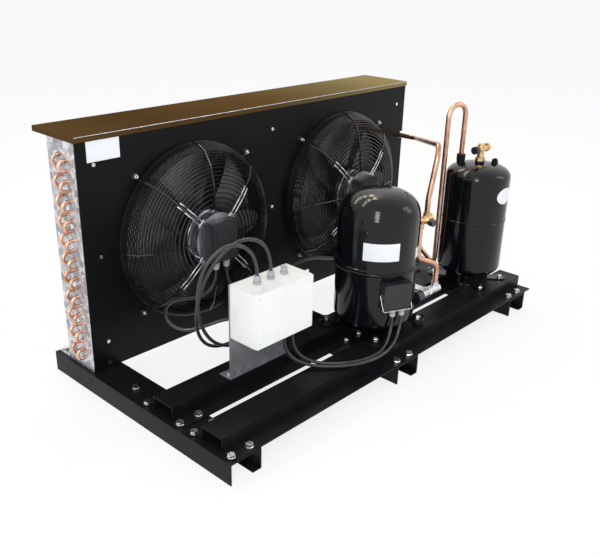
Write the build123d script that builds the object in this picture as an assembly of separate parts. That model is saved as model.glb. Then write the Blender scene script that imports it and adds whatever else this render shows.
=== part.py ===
from build123d import *
import math
import os

# Refrigeration condensing unit: base frame, finned coil with two fans,
# hermetic piston compressor, liquid receiver, pipework and switch box.
# Origin: floor level, middle of the fan panel, on the panel's front face.
# X runs along the panel, -Y is the service side, +Y the air intake, Z is up.

# ---- driving dimensions (mm) ----
PANEL_L = 1300.0
PANEL_TOP = 679.0
SHEET = 2.0
FRAME_T = 3.0
CROSS_W = 94.0
CROSS_H = 56.0
CROSS_LIP = 27.0
CROSS_Y0 = -544.0
CROSS_Y1 = 177.0
PITCH = 611.0
CROSS_SHIFT = -4.0
RAIL_H = 36.0
RAIL_W = 73.0
RAIL_FLANGE = 45.0
RAIL_X0 = -644.0
RAIL_X1 = 692.0
RAIL_INNER_Y = -282.0
RAIL_FRONT_Y = -461.0
BOLT_R = 5.0
BOLT_AF = 17.0
HOLE_GAP = 0.4
COVER_BACK = 182.0
COVER_LIP = 12.0
FAN_SHIFT = 6.0
FAN_Z = 370.0
FAN_PCD_R = 268.7
THROAT_R = 230.0
GUARD_R = 247.0
IMPELLER_R = 220.0
HUB_R = 76.0
MOTOR_R = 66.0
MOTOR_FLANGE_R = 72.0
FIN_Y0, FIN_Y1 = 32.0, 84.0
FIN_Z0, FIN_Z1 = 64.0, 672.0
TUBE_R = 4.75
TUBE_PITCH = 25.4
TUBE_ROWS_Y = (46.0, 70.0)
TUBES_PER_ROW = 22
END_PLATE_Y1 = 122.0
COMP_X, COMP_Y, COMP_R = 50.0, -371.0, 115.0
COMP_Z0, COMP_SEAM, COMP_Z1 = 110.0, 295.0, 500.0
COMP_WALL = 3.5
FOOT_X, FOOT_Y = 100.0, 90.0
REC_X, REC_Y, REC_R = 562.0, -371.0, 102.0
REC_Z0, REC_Z1 = 112.0, 482.0
PIPE_R = 8.0
BOX_X0, BOX_X1 = -459.0, -265.0
BOX_Y0, BOX_Y1 = -415.0, -321.0
BOX_Z0, BOX_Z1 = 211.0, 354.0
RUN_GAP = 0.05
SEAT_GAP = 0.3

CROSS_X = [CROSS_SHIFT + PITCH * k for k in (-1, 0, 1)]
FAN_X = [FAN_SHIFT + PITCH * k for k in (-0.5, 0.5)]
RAIL_TOP = CROSS_H + RAIL_H
HALF = PANEL_L / 2

os.makedirs("parts", exist_ok=True)
AXES = {
    "X": ((1, 0, 0), (0, 1, 0)),
    "Y": ((0, 1, 0), (0, 0, 1)),
    "Z": ((0, 0, 1), (1, 0, 0)),
}


def plane_at(at, axis):
    normal, x_dir = AXES[axis]
    return Plane(origin=at, x_dir=x_dir, z_dir=normal)


def rod(r, h, at, axis="Z"):
    """Solid cylinder starting at a point and running along an axis."""
    return extrude(plane_at(at, axis) * Circle(r), h)


def tube(r_out, r_in, h, at, axis="Z"):
    return extrude(plane_at(at, axis) * (Circle(r_out) - Circle(r_in)), h)


def hexa(af, h, at, axis="Z"):
    return extrude(plane_at(at, axis) * RegularPolygon(af / math.sqrt(3), 6), h)


def block(x0, x1, y0, y1, z0, z1):
    size = (x1 - x0, y1 - y0, z1 - z0)
    return Pos((x0 + x1) / 2, (y0 + y1) / 2, (z0 + z1) / 2) * Box(*size)


def turned(points, at, axis="Z"):
    """Solid of revolution from (radius, height) points about a line through a point."""
    face = make_face(Polyline(*[(r, 0, h) for r, h in points], close=True))
    solid = revolve(face, Axis.Z, 360)
    if axis == "Y":
        solid = Rot(-90, 0, 0) * solid
    if axis == "X":
        solid = Rot(0, 90, 0) * solid
    return Pos(*at) * solid


def cut_all(body, tools):
    for tool in tools:
        body = body - tool
    return body


def join(shapes):
    body = shapes[0]
    for other in shapes[1:]:
        body = body + other
    return body


def save(name, *shapes):
    solids = []
    for shape in shapes:
        solids.extend(shape.solids())
    export_step(Compound(children=solids), f"parts/{name}.step")
    print(name, len(solids))


# ---- base frame ----
def cross_member(xc):
    x0, x1 = xc - CROSS_W / 2, xc + CROSS_W / 2
    web = block(x0, x1, CROSS_Y0, CROSS_Y1, CROSS_H - FRAME_T, CROSS_H)
    left = block(x0, x0 + FRAME_T, CROSS_Y0, CROSS_Y1, 0, CROSS_H)
    right = block(x1 - FRAME_T, x1, CROSS_Y0, CROSS_Y1, 0, CROSS_H)
    lip = block(x1 - CROSS_LIP, x1, CROSS_Y0, CROSS_Y1, 0, FRAME_T)
    body = web + left + right + lip
    holes = [rod(BOLT_R + HOLE_GAP, 8, (x, y, CROSS_H - 5)) for x, y in bolt_points(xc)]
    holes.append(rod(BOLT_R + HOLE_GAP, 8, (xc - 3, LEVEL_BOLT_Y, CROSS_H - 5)))
    if xc in COIL_FEET:
        holes.append(rod(BOLT_R + HOLE_GAP, 8, (COIL_FEET[xc], COIL_FOOT_Y, CROSS_H - 5)))
    slots = [rod(6.5, 8, (x1 - 14, y, -2)) for y in (CROSS_Y0 + 60, CROSS_Y1 - 60)]
    return cut_all(body, holes + slots)


COIL_FOOT_Y = 162.0
COIL_FEET = {CROSS_X[0]: -(HALF - 12), CROSS_X[2]: HALF - 12}
LEVEL_BOLT_Y = -135.0


def bolt_points(xc):
    """Bolt positions over one cross member: two per rail flange."""
    out = []
    for rail_y in (RAIL_INNER_Y, RAIL_FRONT_Y):
        for side in (-1, 1):
            y = rail_y + side * (RAIL_W / 2 + RAIL_FLANGE * 0.6)
            out += [(xc - 28, y), (xc + 28, y)]
    return out


def rail(yc):
    t = FRAME_T
    half = RAIL_W / 2
    out = half + RAIL_FLANGE
    top = block(RAIL_X0, RAIL_X1, yc - half, yc + half, RAIL_TOP - t, RAIL_TOP)
    body = top
    for s in (-1, 1):
        ya, yb = sorted((yc + s * half, yc + s * (half - t)))
        body += block(RAIL_X0, RAIL_X1, ya, yb, CROSS_H, RAIL_TOP)
        ya, yb = sorted((yc + s * (half - t), yc + s * out))
        body += block(RAIL_X0, RAIL_X1, ya, yb, CROSS_H, CROSS_H + t)
    return body


def bolt(at, grip, r=BOLT_R, af=BOLT_AF, head=6.4, axis="Z"):
    """Hex bolt with washer and nut around a grip of sheet; 'at' is the head seat."""
    x, y, z = at
    body = rod(r, grip + 20, (x, y, z - grip - 13))
    body += hexa(af, head, (x, y, z + 1.6))
    body += rod(af * 0.62, 1.6, (x, y, z))
    body += hexa(af, head + 1, (x, y, z - grip - head - 1))
    return body


save("cross_members", *[cross_member(xc) for xc in CROSS_X])

frame_bolts = []
for xc in CROSS_X:
    for x, y in bolt_points(xc):
        frame_bolts.append(bolt((x, y, CROSS_H + FRAME_T), 2 * FRAME_T))
    frame_bolts.append(bolt((xc - 3, LEVEL_BOLT_Y, CROSS_H), FRAME_T))
    if xc in COIL_FEET:
        frame_bolts.append(bolt((COIL_FEET[xc], COIL_FOOT_Y, CROSS_H + SHEET), SHEET + FRAME_T))
save("frame_bolts", *frame_bolts)

rail_holes = []
for xc in CROSS_X:
    for x, y in bolt_points(xc):
        rail_holes.append(rod(BOLT_R + HOLE_GAP, 12, (x, y, CROSS_H - 2)))
COMP_FEET = [(COMP_X + sx * FOOT_X, COMP_Y + sy * FOOT_Y) for sx in (-1, 1) for sy in (-1, 1)]
REC_FEET = [(REC_X + sx * 62, REC_Y + sy * FOOT_Y) for sx in (-1, 1) for sy in (-1, 1)]
for x, y in COMP_FEET + REC_FEET:
    rail_holes.append(rod(4 + HOLE_GAP, 12, (x, y, RAIL_TOP - 8)))
BRACKET_X0, BRACKET_X1 = BOX_X0 - 3, BOX_X1 + 3
BRACKET_FEET = [(BRACKET_X0 + 18, RAIL_INNER_Y - 15), (BRACKET_X1 - 18, RAIL_INNER_Y - 15)]
for x, y in BRACKET_FEET:
    rail_holes.append(rod(4 + HOLE_GAP, 12, (x, y, RAIL_TOP - 8)))
rails = [cut_all(rail(RAIL_INNER_Y), [h for h in rail_holes if h.center().Y > COMP_Y]),
         cut_all(rail(RAIL_FRONT_Y), [h for h in rail_holes if h.center().Y < COMP_Y])]
save("rails", *rails)

# ---- fan panel, divider, cover ----
SCREW_Z = (69.0, 133.0, 372.0, 609.0)
panel = block(-HALF, HALF, 0, SHEET, CROSS_H, PANEL_TOP)
panel += block(-HALF + 3, HALF - 3, SHEET, 24, CROSS_H, CROSS_H + SHEET)
for xc in FAN_X:
    panel -= rod(THROAT_R + SHEET + SEAT_GAP, 20, (xc, -5, FAN_Z), "Y")
    for k in range(4):
        a = math.radians(45 + 90 * k)
        at = (xc + FAN_PCD_R * math.cos(a), -5, FAN_Z + FAN_PCD_R * math.sin(a))
        panel -= rod(3 + SEAT_GAP, 20, at, "Y")
for x in (-603, 0, 603):
    for z in SCREW_Z:
        panel -= rod(2.4, 20, (x, -5, z), "Y")
NOTCH_HIGH, NOTCH_LOW = 497.0, 135.0
PORT_X = HALF - 15
for z in (NOTCH_HIGH, NOTCH_LOW):
    panel -= block(PORT_X - 12, HALF + 1, -5, SHEET + 1, z - 12, z + 12)
save("fan_panel", panel)

screws = []
for x in (-603, 0, 603):
    for z in SCREW_Z:
        screws.append(rod(2.1, 10, (x, 0, z), "Y") + rod(5, 2.6, (x, -2.6, z), "Y"))
save("panel_screws", *screws)

divider = block(-1, 1, 4, FIN_Y0 - 1, CROSS_H + SHEET, PANEL_TOP - 4)
divider += block(-1, 18, SHEET, 4, CROSS_H + SHEET, PANEL_TOP - 4)
divider += block(-18, -1, SHEET, 4, CROSS_H + SHEET, PANEL_TOP - 4)
for z in SCREW_Z:
    divider -= rod(2.4, 20, (0, 0, z), "Y")
save("plenum_divider", divider)

cover = block(-HALF - 3, HALF + 3, -3, COVER_BACK, PANEL_TOP, PANEL_TOP + SHEET)
cover += block(-HALF - 3, HALF + 3, -3, -1, PANEL_TOP - COVER_LIP, PANEL_TOP)
cover += block(-HALF - 3, HALF + 3, COVER_BACK - 2, COVER_BACK, PANEL_TOP - COVER_LIP, PANEL_TOP)
for s in (-1, 1):
    xa, xb = sorted((s * (HALF + 1), s * (HALF + 3)))
    cover += block(xa, xb, -3, COVER_BACK, PANEL_TOP - COVER_LIP, PANEL_TOP)
save("top_cover", cover)

# ---- coil ----
TUBE_Z0 = 84.0
tube_points = []
for row, y in enumerate(TUBE_ROWS_Y):
    for k in range(TUBES_PER_ROW):
        tube_points.append((y, TUBE_Z0 + (k + 0.5 * row) * TUBE_PITCH))


def coil_holes(x0, length, r):
    return [rod(r, length, (x0, y, z), "X") for y, z in tube_points]


def end_plate(s):
    """Tube sheet with folded edges and a rear foot; s is -1 left, 1 right."""
    def strip(xa, xb, *rest):
        lo, hi = sorted((s * xa, s * xb))
        return block(lo, hi, *rest)
    top = PANEL_TOP
    body = strip(HALF - 2, HALF, 4, END_PLATE_Y1, CROSS_H, top)
    body += strip(HALF - 60, HALF, SHEET, 4, CROSS_H + SHEET, top)
    body += strip(HALF - 22, HALF, END_PLATE_Y1 - 2, END_PLATE_Y1, CROSS_H, top)
    body += strip(HALF - 40, HALF, END_PLATE_Y1 - 2, CROSS_Y1 - 1, CROSS_H, CROSS_H + 2)
    body -= rod(BOLT_R + HOLE_GAP, 12, (s * (HALF - 12), COIL_FOOT_Y, CROSS_H - 4))
    body -= strip(HALF - 60, HALF - 40, SHEET - 1, 30, CROSS_H, CROSS_H + 2.2)
    for z in SCREW_Z:
        body -= rod(2.4, 20, (s * 603, 0, z), "Y")
    return body


left_sheet = cut_all(end_plate(-1), coil_holes(-HALF - 4, 10, TUBE_R + SEAT_GAP))
right_sheet = end_plate(1)
for z in (NOTCH_HIGH, NOTCH_LOW):
    right_sheet -= block(PORT_X - 12, HALF + 1, -1, 8, z - 12, z + 12)
right_sheet = cut_all(right_sheet, coil_holes(HALF - 6, 10, TUBE_R + SEAT_GAP))
save("end_plates", left_sheet, right_sheet)

FIN_HALF = HALF - 30
holes = [Pos(y, z) * Circle(TUBE_R + SEAT_GAP) for y, z in tube_points]
fin_face = Pos((FIN_Y0 + FIN_Y1) / 2, (FIN_Z0 + FIN_Z1) / 2) * Rectangle(FIN_Y1 - FIN_Y0, FIN_Z1 - FIN_Z0)
fin_face = cut_all(fin_face, holes)
fins = extrude(plane_at((-FIN_HALF, 0, 0), "X") * fin_face, 2 * FIN_HALF)
save("fin_pack", fins)

ring_face = [Pos(y, z) * (Circle(TUBE_R) - Circle(TUBE_R - 0.5)) for y, z in tube_points]
TUBE_END = HALF + 6
tubes = [extrude(plane_at((-TUBE_END, 0, 0), "X") * f, 2 * TUBE_END) for f in ring_face]
save("coil_tubes", *tubes)


def u_bend(y, z, s):
    """Return bend between a tube at z and the next one above, on end s."""
    bend_r = TUBE_PITCH / 2
    circle = Plane(origin=(s * TUBE_END, y, z), x_dir=(0, 1, 0), z_dir=(1, 0, 0)) * Circle(TUBE_R)
    axis = Axis((s * TUBE_END, y, z + bend_r), (0, 1, 0))
    return revolve(circle, axis, -180 if s > 0 else 180)


bends_left = []
bends_right = []
for row, y in enumerate(TUBE_ROWS_Y):
    for k in range(0, TUBES_PER_ROW - 1, 2):
        z = TUBE_Z0 + (k + 0.5 * row) * TUBE_PITCH
        bends_left.append(u_bend(y, z, -1))
    for k in range(1, TUBES_PER_ROW - 1, 2):
        z = TUBE_Z0 + (k + 0.5 * row) * TUBE_PITCH
        bends_right.append(u_bend(y, z, 1))
save("return_bends", *bends_left, *bends_right)

# headers at the right end, between the fin pack and the end plate
HEAD_X, HEAD_Y = 635.0, 17.0
hot = rod(PIPE_R, 200, (HEAD_X, HEAD_Y, NOTCH_HIGH - 190))
hot += rod(PIPE_R - 0.5, 25, (HEAD_X, HEAD_Y - 25, NOTCH_HIGH), "Y")
cold = rod(PIPE_R, 120, (HEAD_X, HEAD_Y, NOTCH_LOW - 10))
cold += rod(PIPE_R - 0.5, 25, (HEAD_X, HEAD_Y - 25, NOTCH_LOW), "Y")
for z0, header in ((NOTCH_HIGH - 180, hot), (NOTCH_LOW + 22, cold)):
    for k in range(4):
        header += rod(3, 20, (HEAD_X, HEAD_Y, z0 + k * TUBE_PITCH), "Y")
save("coil_headers", hot, cold)

# ---- fans ----
GUARD_PROFILE = [(GUARD_R, -4), (243, -25), (230, -50), (195, -72), (140, -84), (MOTOR_FLANGE_R - 2, -91)]
GUARD_RINGS = 26
ARM_N = 8
WIRE = 2.6
MOTOR_SEAT = 92.0


def profile_at(t):
    """Point on the guard's profile, t from 0 at the panel to 1 at the motor."""
    n = len(GUARD_PROFILE) - 1
    i = min(int(t * n), n - 1)
    f = t * n - i
    (r0, y0), (r1, y1) = GUARD_PROFILE[i], GUARD_PROFILE[i + 1]
    return r0 + (r1 - r0) * f, y0 + (y1 - y0) * f


def guard(xc):
    body = None
    outer = [(r + 2.2, -y + 2.2) for r, y in GUARD_PROFILE]
    inner = [(r - 2.2, -y - 2.2) for r, y in reversed(GUARD_PROFILE)]
    arm_face = make_face(Polyline(*(outer + inner), close=True))
    for k in range(ARM_N):
        arm = extrude(arm_face, 1.5, both=True)
        arm = Rot(0, 0, 360 / ARM_N * k) * (Rot(90, 0, 0) * arm)
        body = arm if body is None else body + arm
    for k in range(GUARD_RINGS + 1):
        r, y = profile_at(k / GUARD_RINGS)
        if k in (0, GUARD_RINGS):
            w = 2.0
        else:
            w = WIRE / 2
        ring = tube(r + w, r - w, 2 * w, (0, 0, -y - w))
        body = body + ring
    for k in range(4):
        a = 45 + 90 * k
        r0 = GUARD_PROFILE[0][0]
        arm = block(r0 - 1, FAN_PCD_R - 4, -2.5, 2.5, 2.5, 5.5)
        arm += tube(8, 3 + SEAT_GAP, 3, (FAN_PCD_R, 0, 2.5))
        body = body + Rot(0, 0, a) * arm
    body -= rod(96, 12, (0, 0, MOTOR_SEAT))
    # local Z is the outward axis of the fan
    return Pos(xc, 0, FAN_Z) * (Rot(90, 0, 0) * body)


def blade():
    """One sickle blade, twisted about its radial axis."""
    pts_a = [(HUB_R - 6, -32), (130, -58), (180, -70), (IMPELLER_R - 6, -64)]
    pts_b = [(IMPELLER_R, -2), (170, 34), (120, 44), (HUB_R - 6, 34)]
    edge_a = Spline(*pts_a)
    edge_b = Spline(*pts_b)
    tip = ThreePointArc(pts_a[-1], (IMPELLER_R + 1.5, -30), pts_b[0])
    root = Line(pts_b[-1], pts_a[0])
    face = make_face(Curve() + [edge_a, tip, edge_b, root])
    return Rot(26, 0, 0) * extrude(face, 1.25, both=True)


def impeller(xc):
    cup = turned(
        [(10.0, 6), (HUB_R, 6), (HUB_R, 50), (HUB_R - 3, 50), (HUB_R - 3, 9), (10.0, 9)],
        (0, 0, 0))
    shaft = rod(10, 84, (0, 0, 6))
    body = cup + shaft
    for k in range(5):
        body = body + Rot(0, 0, 72 * k) * (Pos(0, 0, 26) * blade())
    return Pos(xc, 0, FAN_Z) * (Rot(90, 0, 0) * body)


def motor(xc):
    """Stator housing with bearings; the impeller cup runs around its rear part."""
    r = MOTOR_R
    body = turned(
        [(10.0 + RUN_GAP, 12), (HUB_R - 6, 12), (HUB_R - 6, 53), (r, 53), (r, MOTOR_SEAT),
         (MOTOR_FLANGE_R, MOTOR_SEAT), (MOTOR_FLANGE_R, 96),
         (0.01, 96), (0.01, 91), (10.0 + RUN_GAP, 91)],
        (0, 0, 0))
    for k in range(16):
        rib = block(r - 1, r + 3, -1.5, 1.5, 55, 84)
        body = body + Rot(0, 0, 22.5 * k + 11.25) * rib
    return Pos(xc, 0, FAN_Z) * (Rot(90, 0, 0) * body)


FAN_BOX_W, FAN_BOX_H, FAN_BOX_D = 92.0, 112.0, 30.0
mouths, guards, motors, cases = [], [], [], []
for n, xc in enumerate(FAN_X, start=1):
    throat = turned(
        [(THROAT_R, -24), (THROAT_R + SHEET, -24), (THROAT_R + SHEET, 0), (GUARD_R - 6, 0),
         (GUARD_R - 6, 1.6), (THROAT_R + 1, 1.6), (THROAT_R, 0.6)],
        (0, 0, 0))
    mouths.append(Pos(xc, 0, FAN_Z) * (Rot(90, 0, 0) * throat))
    guards.append(guard(xc))
    save(f"impeller_{n}", impeller(xc))
    motors.append(motor(xc))
    case = block(xc - FAN_BOX_W / 2, xc + FAN_BOX_W / 2, -96 - FAN_BOX_D, -96,
                 FAN_Z - FAN_BOX_H / 2, FAN_Z + FAN_BOX_H / 2)
    case = fillet(case.edges().filter_by(Axis.Y), 5)
    case -= block(xc - FAN_BOX_W / 2 + 3, xc + FAN_BOX_W / 2 - 3, -96 - FAN_BOX_D + 3, -95,
                  FAN_Z - FAN_BOX_H / 2 + 3, FAN_Z + FAN_BOX_H / 2 - 3)
    cases.append(case)
save("bell_mouths", *mouths)
save("fan_guards", *guards)
save("fan_motors", *motors)
save("fan_boxes", *cases)

nuts = []
for xc in FAN_X:
    for k in range(4):
        a = math.radians(45 + 90 * k)
        x, z = xc + FAN_PCD_R * math.cos(a), FAN_Z + FAN_PCD_R * math.sin(a)
        nut = rod(3, 22, (x, -16, z), "Y") + hexa(10, 5, (x, -10.5, z), "Y")
        nut += rod(8, 2, (x, 2, z), "Y") + rod(8, 2.5, (x, -2.5, z), "Y")
        nuts.append(nut)
save("guard_nuts", *nuts)


def gland(at, sign=-1, axis="Z", r=9.0, length=22.0):
    """Cable gland with its seat at a point; sign gives the outward direction."""
    x, y, z = at
    if axis == "Z":
        start = (x, y, z if sign > 0 else z - length)
        nut0 = (x, y, z if sign > 0 else z - 7)
    body = rod(r * 0.82, length, start) + hexa(r * 2, 7, nut0)
    cap0 = (x, y, z + 11 if sign > 0 else z - 18)
    body += rod(r * 0.95, 7, cap0)
    return body


FAN_GLAND_Y = -113.0
FAN_GLAND_Z = FAN_Z - FAN_BOX_H / 2
FAN_GLANDS = [(xc + dx, FAN_GLAND_Y, FAN_GLAND_Z) for xc in FAN_X for dx in (-22, 14)]

# ---- compressor ----
def shell_half(z_flat, z_end, r, wall, sign, squash, steps=14):
    """Turned dished shell: straight skirt from the open end to z_flat, then an elliptic end."""
    outer = []
    inner = []
    height = abs(z_end - z_flat)
    for k in range(steps + 1):
        a = math.pi / 2 * k / steps
        outer.append((r * math.cos(a) ** squash, z_flat + sign * height * math.sin(a) ** squash))
        ri, hi = r - wall, height - wall
        inner.append((ri * math.cos(a) ** squash, z_flat + sign * hi * math.sin(a) ** squash))
    return outer, inner


def dished(z_open, z_flat, z_end, r, wall, sign, squash=0.75):
    outer, inner = shell_half(z_flat, z_end, r, wall, sign, squash)
    outer[-1] = (0.0, z_end)
    inner[-1] = (0.0, z_end - sign * wall)
    points = [(r, z_open)] + outer + list(reversed(inner)) + [(r - wall, z_open)]
    clean = [points[0]]
    for q in points[1:]:
        if math.dist(q, clean[-1]) > 1e-6:
            clean.append(q)
    return clean


COMP_AT = (COMP_X, COMP_Y, 0)
lower = turned(dished(COMP_SEAM, 150, COMP_Z0, COMP_R, COMP_WALL, -1, 0.6), COMP_AT)
STUB_Y, STUB_Z, STUB_X1 = -385.0, 152.0, 205.0
stub = rod(13, STUB_X1 - COMP_X - 80, (COMP_X + 80, STUB_Y, STUB_Z), "X")
stub -= rod(COMP_R - 1, 400, COMP_AT)
lower += stub
lower -= rod(8, 60, (STUB_X1 - 50, STUB_Y, STUB_Z), "X")
save("comp_lower_shell", lower)

upper = turned(dished(COMP_SEAM + 0.4, 410, COMP_Z1, COMP_R, COMP_WALL, 1, 0.72), COMP_AT)
upper += turned([(COMP_R - 0.5, COMP_SEAM + 0.4), (COMP_R + 3, COMP_SEAM + 0.4),
                 (COMP_R + 3, COMP_SEAM + 5), (COMP_R - 0.5, COMP_SEAM + 8)], COMP_AT)
SUCTION_Z, SUCTION_Y = 335.0, -215.0
SUCTION_TURN = -24.0
SUCTION_REACH = SUCTION_Y - COMP_Y
SUCTION_X = COMP_X - SUCTION_REACH * math.sin(math.radians(SUCTION_TURN))
SUCTION_VY = COMP_Y + SUCTION_REACH * math.cos(math.radians(SUCTION_TURN))
SUCTION_PIPE = 40.0


def at_suction(shape):
    """Turns a shape made straight behind the compressor to the suction side."""
    return Pos(*COMP_AT) * (Rot(0, 0, SUCTION_TURN) * (Pos(-COMP_X, -COMP_Y, 0) * shape))


boss = rod(15, 30, (COMP_X, COMP_Y + COMP_R - 10, SUCTION_Z), "Y")
boss -= rod(COMP_R - 1, 600, COMP_AT)
upper += at_suction(boss)
upper -= at_suction(rod(10, 60, (COMP_X, COMP_Y + COMP_R - 25, SUCTION_Z), "Y"))
bump_a = math.radians(-158)
bump_at = (COMP_X + (COMP_R - 8) * math.cos(bump_a), COMP_Y + (COMP_R - 8) * math.sin(bump_a), 405)
upper += Pos(*bump_at) * Sphere(11)
save("comp_upper_shell", upper)

FOOT_Z0, FOOT_T = 106.0, 4.0
plate = rod(96, FOOT_T, (COMP_X, COMP_Y, FOOT_Z0))
for sx in (-1, 1):
    for sy in (-1, 1):
        x, y = COMP_X + sx * FOOT_X, COMP_Y + sy * FOOT_Y
        plate += rod(22, FOOT_T, (x, y, FOOT_Z0))
        mid = ((COMP_X + x) / 2, (COMP_Y + y) / 2, FOOT_Z0 + FOOT_T / 2)
        ang = math.degrees(math.atan2(y - COMP_Y, x - COMP_X))
        length = math.hypot(FOOT_X, FOOT_Y)
        plate += Pos(*mid) * (Rot(0, 0, ang) * Box(length, 44, FOOT_T))
for x, y in COMP_FEET:
    plate -= rod(4 + HOLE_GAP, 12, (x, y, FOOT_Z0 - 2))
save("comp_feet", plate)

save("comp_grommets", *[tube(15, 4 + HOLE_GAP, FOOT_Z0 - RAIL_TOP, (x, y, RAIL_TOP)) for x, y in COMP_FEET])

# inner works, hung on springs inside the shell
STATOR_Z0, STATOR_Z1 = 150.0, 216.0
SHAFT_R = 12.0
stator = tube(84, 50, STATOR_Z1 - STATOR_Z0, (COMP_X, COMP_Y, STATOR_Z0))
for z in (STATOR_Z0 - 12, STATOR_Z1):
    stator += tube(76, 56, 12, (COMP_X, COMP_Y, z))
save("comp_stator", stator)

CRANK_Z, CRANK_THROW = 278.0, 10.0
crank = rod(SHAFT_R, 100, (COMP_X, COMP_Y, 160))
crank += rod(49.2, STATOR_Z1 - STATOR_Z0, (COMP_X, COMP_Y, STATOR_Z0))
crank += rod(22, 4, (COMP_X, COMP_Y, 260))
crank += rod(8, 30, (COMP_X + CRANK_THROW, COMP_Y, 264))
save("comp_crankshaft", crank)

PISTON_R = 24.0
frame = turned([(SHAFT_R + RUN_GAP, 230), (78, 230), (78, 242), (60, 242), (60, 306), (30, 306),
                (30, 256), (SHAFT_R + RUN_GAP, 256)], COMP_AT)
for s in (-1, 1):
    x0 = COMP_X + 28 if s > 0 else COMP_X - 28 - 66
    frame += rod(PISTON_R + 7, 66, (x0, COMP_Y, CRANK_Z), "X")
for s in (-1, 1):
    x0 = COMP_X + 20 if s > 0 else COMP_X - 20 - 70
    frame -= rod(PISTON_R + RUN_GAP, 70, (x0, COMP_Y, CRANK_Z), "X")
frame -= rod(29.9, 60, (COMP_X, COMP_Y, 262))
save("comp_block", frame)

rods = []
for s, z in ((-1, CRANK_Z - 7), (1, CRANK_Z + 0.6)):
    x0 = COMP_X + 52 if s > 0 else COMP_X - 52 - 34
    piston = rod(PISTON_R, 34, (x0, COMP_Y, CRANK_Z), "X")
    link = tube(26, 19.5, 6.4, (COMP_X, COMP_Y, z))
    xa, xb = sorted((COMP_X + s * 24, COMP_X + s * 54))
    link += block(xa, xb, COMP_Y - 7, COMP_Y + 7, z, z + 6.4)
    rods.append(piston + link)
save("comp_pistons", *rods)

springs = []
for k in range(4):
    a = math.radians(45 + 90 * k)
    at = (COMP_X + 66 * math.cos(a), COMP_Y + 66 * math.sin(a))
    z0 = COMP_Z0 + COMP_WALL + 3.5
    coil = tube(9, 5, 2.4, (at[0], at[1], z0))
    for j in range(5):
        coil += tube(9, 6, 2.2, (at[0], at[1], z0 + 2.4 + j * 3.6 + 1.4))
    coil += tube(7.2, 6.2, 20, (at[0], at[1], z0))
    springs.append(coil)
save("comp_springs", *springs)

# terminal box on the shell, turned about the shell's axis
TERM_TURN = -25.0
TW, TZ0, TZ1 = 42.0, 197.0, 272.0


def on_shell(shape, turn=TERM_TURN):
    return Pos(*COMP_AT) * (Rot(0, 0, turn) * shape)


clear = rod(COMP_R + SEAT_GAP, 600, (0, 0, 0))
fence = block(-TW, TW, -133, -95, TZ0, TZ1) - block(-TW + 3, TW - 3, -134, -90, TZ0 + 3, TZ1 - 3)
lid = block(-TW, TW, -138, -133, TZ0, TZ1)
lid = fillet(lid.edges().filter_by(Axis.Y), 6)
save("comp_terminal_cover", on_shell(lid))
pins = [rod(2.5, 12, (dx, -128.7, 236 + dz), "Y") for dx, dz in ((0, 12), (-11, -8), (11, -8))]
glass = rod(24, 4, (0, -119.4, 236), "Y")
BAIL_Y, BAIL_Z = -118.0, 237.0
PIVOT_R = 1.9
bail_path = FilletPolyline((-TW - 2.2, BAIL_Y, BAIL_Z), (-TW - 2.2, BAIL_Y - 24, BAIL_Z - 40),
                           (TW + 2.2, BAIL_Y - 24, BAIL_Z - 40), (TW + 2.2, BAIL_Y, BAIL_Z), radius=5)
bail = sweep(Plane(origin=bail_path @ 0, z_dir=bail_path % 0) * Circle(1.2), path=bail_path)
for x0 in (-TW - 3.4, TW - 2.4):
    bail += rod(PIVOT_R, 5.8, (x0, BAIL_Y, BAIL_Z), "X")
    fence -= rod(PIVOT_R + RUN_GAP, 8, (x0 - 1, BAIL_Y, BAIL_Z), "X")
save("comp_terminal_box", on_shell(fence - clear), on_shell(join(pins + [glass])))
save("comp_bail", on_shell(bail))


def arc_label(r, half_angle, z0, z1, turn, t=0.6):
    body = tube(r + SEAT_GAP + t, r + SEAT_GAP, z1 - z0, (0, 0, z0))
    reach = 2 * r
    w = math.radians(half_angle)
    face = make_face(Polyline((0, 0), (reach * math.sin(-w), -reach * math.cos(w)),
                              (reach * math.sin(w), -reach * math.cos(w)), close=True))
    wedge = Pos(0, 0, z0 - 1) * extrude(face, z1 - z0 + 2)
    return Rot(0, 0, turn) * (body & wedge)


# ---- valves ----
VALVE_Y, VALVE_Z = -430.0, STUB_Z
valve = rod(14, 92, (198, VALVE_Y, VALVE_Z), "X")
valve += block(STUB_X1, STUB_X1 + 30, VALVE_Y, STUB_Y + 14, VALVE_Z - 14, VALVE_Z + 14)
OUT_X = 275.0
valve += rod(11, 24, (OUT_X, VALVE_Y, VALVE_Z))
valve += hexa(30, 12, (228, VALVE_Y, VALVE_Z), "X")
valve -= rod(PIPE_R - 1, 40, (OUT_X, VALVE_Y, VALVE_Z))
valve -= rod(5 + RUN_GAP, 50, (180, VALVE_Y, VALVE_Z), "X")
save("discharge_valve", valve)
spindle = rod(5, 46, (183, VALVE_Y, VALVE_Z), "X")
spindle += block(178, 183.5, VALVE_Y - 3, VALVE_Y + 3, VALVE_Z - 3, VALVE_Z + 3)
save("discharge_spindle", spindle)
cap = rod(20, 26, (172, VALVE_Y, VALVE_Z), "X") - rod(9, 24, (175, VALVE_Y, VALVE_Z), "X")
caps = [cap]

V_X, V_Y, V_Z = 214.0, -400.0, 375.0
inline = rod(12, 64, (200, V_Y, V_Z), "X") + rod(11, 24, (V_X, V_Y, V_Z - 24))
inline += rod(11, 20, (242, V_Y, V_Z)) + hexa(28, 10, (254, V_Y, V_Z), "X")
inline += rod(8, 22, (226, V_Y - 22, V_Z), "Y")
inline -= rod(PIPE_R - 1, 20, (V_X, V_Y, V_Z - 25)) + rod(PIPE_R - 1, 20, (242, V_Y, V_Z + 2))
save("inline_valve", inline)
caps.append(hexa(20, 16, (226, V_Y - 38, V_Z), "Y"))

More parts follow.
